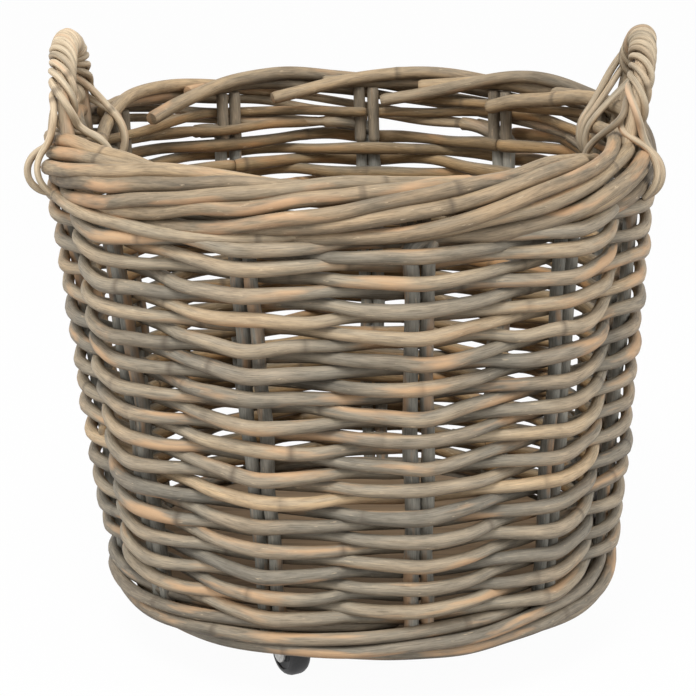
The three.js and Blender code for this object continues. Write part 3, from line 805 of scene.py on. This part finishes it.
def lay_core_row(bm, first, last):
    """The rows hidden in the border, woven round the props under the wound stakes."""
    passes = np.linspace(first, last, int((last - first) * POINTS_PER_PASS))
    swing = np.cos(math.pi * passes)
    turn = FIRST_STAKE + passes * STAKE_PITCH
    heights = CORE_ROW_START + WEAVE_PITCH * (passes - PASSES) / STAKE_PAIRS + back_rise(turn)
    line = around(turn, RIM_RADIUS + PROP_OFFSET - CORE_SWING * swing, heights)
    tone = rng.uniform(0.05, 0.4)
    lay_rod(bm, line, CORE_ROD, wobble=0.9 * MM, tone=tone, wear_and_highlight=0.55, tall=1.0)


def lay_weaver(bm, first, last, run_on):
    """A rod from one pass to another. Its inner passes sag, most of all low at the front, it kinks where
    it rounds a pair of stakes, and at the top it climbs with the border. An end that runs on is loose."""
    passes = np.linspace(first + END_GAP, last + run_on, int((last - first) * POINTS_PER_PASS))
    swing = 1.06 * np.cos(math.pi * passes) - 0.06 * np.cos(3 * math.pi * passes)
    heights = WEAVE_START + WEAVE_PITCH * np.minimum(passes, PASSES) / STAKE_PAIRS
    heights += LAST_PITCH * np.maximum(passes - PASSES, 0) / STAKE_PAIRS
    turn = FIRST_STAKE + passes * STAKE_PITCH
    front = 0.5 + 0.5 * np.cos(np.radians(turn))
    sag = SAG + front * (FRONT_SAG + LOW_SAG * np.exp(-((passes / LOW_SAG_PASSES) ** 2)))
    heights += PASS_LIFT * swing - sag * np.maximum(swing, 0)
    kink = np.exp(-(((passes % 2 - 1) / KINK_WIDTH) ** 2))
    heights -= (KINK + KINK_CHANGE * np.sin(2.7 * np.round(passes))) * kink
    # Rods near the foot are given a darker, greyer tone, fading upward.
    near_foot = np.exp(-passes / FOOT_PASSES)
    heights += FOOT_RISE * near_foot
    heights += back_rise(turn) * np.clip((passes - PASSES + 2 * STAKE_PAIRS) / (3 * STAKE_PAIRS), 0, 1)
    loose = np.clip((passes - last) / 0.4, 0, 1)
    tight = 1 - DRAWN_IN * np.exp(-passes / DRAWN_IN_PASSES)
    radii = wall_radius(heights) + WALL_OUT - SWING * tight * swing + RUN_ON_OUT * loose
    line = around(turn, radii, heights - RUN_ON_DROP * loose)
    bulge = np.cos(math.pi * passes) ** 2
    outside = np.clip(-swing, 0, 1)
    thickness = WEAVER * rng.uniform(0.93, 1.06)
    # The outward bulge of each pass gets a lighter tone and tan wear: partly real wear of the exposed
    # rattan and partly a painted highlight where the light from above and in front falls on it.
    tone = rng.uniform(0.04, 0.99) + 0.14 * outside - 0.38 * near_foot
    wear_and_highlight = rng.uniform(0.1, 0.85) * outside**2
    tall = 0.98 + 0.23 * bulge
    grey = rng.uniform(0, 0.62) + 0.36 * near_foot
    lay_rod(bm, line, thickness, wobble=1.25 * MM, tone=tone, wear_and_highlight=wear_and_highlight, grey=grey, tall=tall)


for number, first in enumerate(range(0, PASSES, PASSES_PER_WEAVER), 1):
    weaver = start_rods()
    last = min(first + PASSES_PER_WEAVER, PASSES)
    for cut in range(first, last, PASSES_PER_ROD):
        run_on = rng.choice((-END_GAP, -END_GAP, RUN_ON))
        lay_weaver(weaver, cut, min(cut + PASSES_PER_ROD, last), run_on)
    if last == PASSES:
        lay_weaver(weaver, PASSES, PASSES + LAST_PASSES, -END_GAP)
        lay_weaver(weaver, PASSES + TOP_PIECE[0], PASSES + TOP_PIECE[1], -END_GAP)
        for cut in (PASSES + 1, PASSES + 1 + STAKE_PAIRS):
            lay_core_row(weaver, cut, cut + STAKE_PAIRS - 0.1)
        packing_share = np.linspace(-1, 1, 150)
        packing_height = PACKING_MIDDLE + PACKING_RISE * packing_share**4
        packing_radius = RIM_RADIUS + PACKING_OUT - PACKING_IN * packing_share**4
        packing_rod = around(FIRST_STAKE + PACKING_REACH * packing_share, packing_radius, packing_height)
        lay_rod(weaver, packing_rod, WEAVER, wobble=0.9 * MM, tone=0.5, wear_and_highlight=0.4)
    finish_rods(weaver, f"wall_weaver_{number:02d}", weathered, "rattan", f"weaver_{number:02d}")


# Handles.
# A bow of rattan stands in the border at each side. Thin strands wind round it like a rope, spread at its
# feet and are drawn over the border, outside and inside, where they hold on between the rods.
HANDLE_FOOT = 0.4263
HANDLE_REACH = RIM_RADIUS - 0.002
HALF_SPAN = 0.063
LEG = 0.016
LEG_IN_BORDER = 0.024
CORE = 0.0112
STRAND = 0.0058
ROPE_RADIUS = 0.0083
ROPE_TURNS = 4
ROPE_TIGHTENED = 0.38
STRANDS = 5
STRAND_TONES = (0.75, 0.2, 0.95, 0.45, 0.6)
BOW_STEPS = 300
NECK_STEP = 30
BORDER_SKIN = 0.026
OUTER_HOLD = (28, -50)
INNER_HOLD = (140, 208)
rng = np.random.default_rng(5)

pale_cane = rattan(
    "pale_cane",
    shades=(
        (0.05, (0.14, 0.122, 0.094)),
        (0.3, (0.25, 0.215, 0.163)),
        (0.55, (0.40, 0.338, 0.25)),
        (0.75, (0.53, 0.445, 0.325)),
        (0.95, (0.66, 0.535, 0.38)),
    ),
    wear_and_highlight_colour=(0.62, 0.46, 0.30),
    ember_colour=(0.60, 0.40, 0.25),
    grey_colour=(0.16, 0.15, 0.13),
    ring_colour=(0.11, 0.08, 0.052),
    roughness=0.56,
)


def bow_points(apex, count):
    """The bow's middle line in its own plane, along the border and up, at even steps."""
    arch = np.linspace(math.pi, 0, 400)
    legs = np.linspace(0, LEG, 40)
    rise = apex - HANDLE_FOOT - LEG
    foot = np.full(40, HALF_SPAN)
    across = np.concatenate([-foot, HALF_SPAN * np.cos(arch[1:-1]), foot])
    up = HANDLE_FOOT + np.concatenate([legs, LEG + rise * np.sin(arch[1:-1]), legs[::-1]])
    along = np.concatenate([[0], np.cumsum(np.hypot(np.diff(across), np.diff(up)))])
    even = np.linspace(0, along[-1], count)
    return np.interp(even, along, across), np.interp(even, along, up)


def on_handle(azimuth, lean, across, up, outward):
    angle = math.radians(azimuth)
    reach = HANDLE_REACH + lean * (up - HANDLE_FOOT) + outward
    return np.stack(
        [
            reach * math.sin(angle) + across * math.cos(angle),
            -reach * math.cos(angle) + across * math.sin(angle),
            up,
        ],
        axis=-1,
    )


def hold(neck, way, outer, fan, bow_out):
    """A strand's end, from the neck of the handle down over the border, on its outer or inner side."""
    distance = BORDER_SKIN + STRAND / 2
    azimuth = math.degrees(math.atan2(neck[0], -neck[1])) + fan
    touch, end = OUTER_HOLD if outer else INNER_HOLD
    turn = np.linspace(touch, end, 30)
    loose = bow_out * np.sin(math.pi * np.linspace(0, 1, 30)) if outer else 0
    on_border = beside_border(azimuth, turn, distance + loose)
    landing = on_border[1] - on_border[0]
    landing = landing / np.linalg.norm(landing)
    reach = np.linalg.norm(on_border[0] - neck)
    share = np.linspace(0, 1, 26)[1:-1, None]
    drop = (
        (1 - share) ** 3 * neck
        + 3 * share * (1 - share) ** 2 * (neck + way * reach * 0.4)
        + 3 * share**2 * (1 - share) * (on_border[0] - landing * reach * 0.35)
        + share**3 * on_border[0]
    )
    return np.concatenate([drop, on_border])


def wound_strand(azimuth, lean, apex, strand):
    """A strand's line along the whole bow and its phase round it, tightest at the top of the bow."""
    share = np.linspace(0, 1, BOW_STEPS)
    across, up = bow_points(apex, BOW_STEPS)
    heading = np.stack([np.gradient(across), np.gradient(up)])
    heading /= np.linalg.norm(heading, axis=0)
    turns = ROPE_TURNS * (share - ROPE_TIGHTENED * np.sin(2 * math.pi * share) / (2 * math.pi))
    phase = 2 * math.pi * (strand / STRANDS + turns)
    sideways = ROPE_RADIUS * np.sin(phase)
    outward = ROPE_RADIUS * np.cos(phase)
    across = across - heading[1] * sideways
    up = up + heading[0] * sideways
    return on_handle(azimuth, lean, across, up, outward), phase


def roped(azimuth, lean, apex, feet):
    """The lines of all strands of a handle. Each foot says how many strands it sends down the outside of
    the border, how early those and the inner ones leave the bow, and how far the first one stands off."""
    strands = [wound_strand(azimuth, lean, apex, strand) for strand in range(STRANDS)]
    ends = {}
    for foot, (outer_count, outer_leave, inner_leave, bow_out) in enumerate(feet):
        neck = NECK_STEP if foot == 0 else BOW_STEPS - 1 - NECK_STEP
        ranked = sorted(range(STRANDS), key=lambda strand: -math.cos(strands[strand][1][neck]))
        for rank, strand in enumerate(ranked):
            outer = rank < outer_count
            leave = (outer_leave if outer else inner_leave) + rng.uniform(-0.02, 0.02)
            leave = int(BOW_STEPS * leave) if foot == 0 else BOW_STEPS - 1 - int(BOW_STEPS * leave)
            wound, phase = strands[strand]
            way = wound[leave] - wound[leave + (2 if foot == 0 else -2)]
            way = way / np.linalg.norm(way)
            fan = 1.5 * math.sin(phase[leave]) + rng.uniform(-0.6, 0.6)
            loose = bow_out if rank == 0 else 0.25 * bow_out
            ends[strand, foot] = leave, hold(wound[leave], way, outer, fan, loose)
    lines = []
    for strand, (wound, _) in enumerate(strands):
        first, start = ends[strand, 0]
        last, end = ends[strand, 1]
        lines.append(np.concatenate([start[::-1], wound[first:last + 1], end]))
    return lines


# The number before the feet lifts or lowers the strands' tone: a painted light on the left handle and a
# painted shade on the right, for how the light falls on the two sides.
for side, azimuth, lean, apex, painted_light_offset, feet in (
    ("right", 87.5, 0.18, 0.4926, -0.28, ((4, 0.055, 0.10, 0.005), (2, 0.07, 0.23, 0.003))),
    ("left", 270.0, 0.09, 0.4876, 0.42, ((2, 0.07, 0.10, 0.003), (2, 0.12, 0.06, 0.010))),
):
    bow = start_rods()
    across, up = bow_points(apex, 110)
    sunk = np.linspace(LEG_IN_BORDER, 0.001, 16)
    across = np.concatenate([np.full(16, across[0]), across, np.full(16, across[-1])])
    up = np.concatenate([HANDLE_FOOT - sunk, up, HANDLE_FOOT - sunk[::-1]])
    lay_rod(bow, on_handle(azimuth, lean, across, up, 0), CORE, tone=0.35, wear_and_highlight=0.9)
    finish_rods(bow, f"bow_{side}", pale_cane, "cane", f"handle_core_{side}")
    rope = start_rods()
    for tone, line in zip(STRAND_TONES, roped(azimuth, lean, apex, feet)):
        thickness = STRAND * rng.uniform(0.92, 1.06)
        tone += painted_light_offset
        lay_rod(rope, line, thickness, sides=10, wobble=0.4 * MM, tone=tone, wear_and_highlight=0.6, knots=0.3)
    strand_nodes = [f"handle_strand_{side}_{number}" for number in (1, 2, 3)]
    finish_rods(rope, f"rope_{side}", pale_cane, "cane", *strand_nodes)
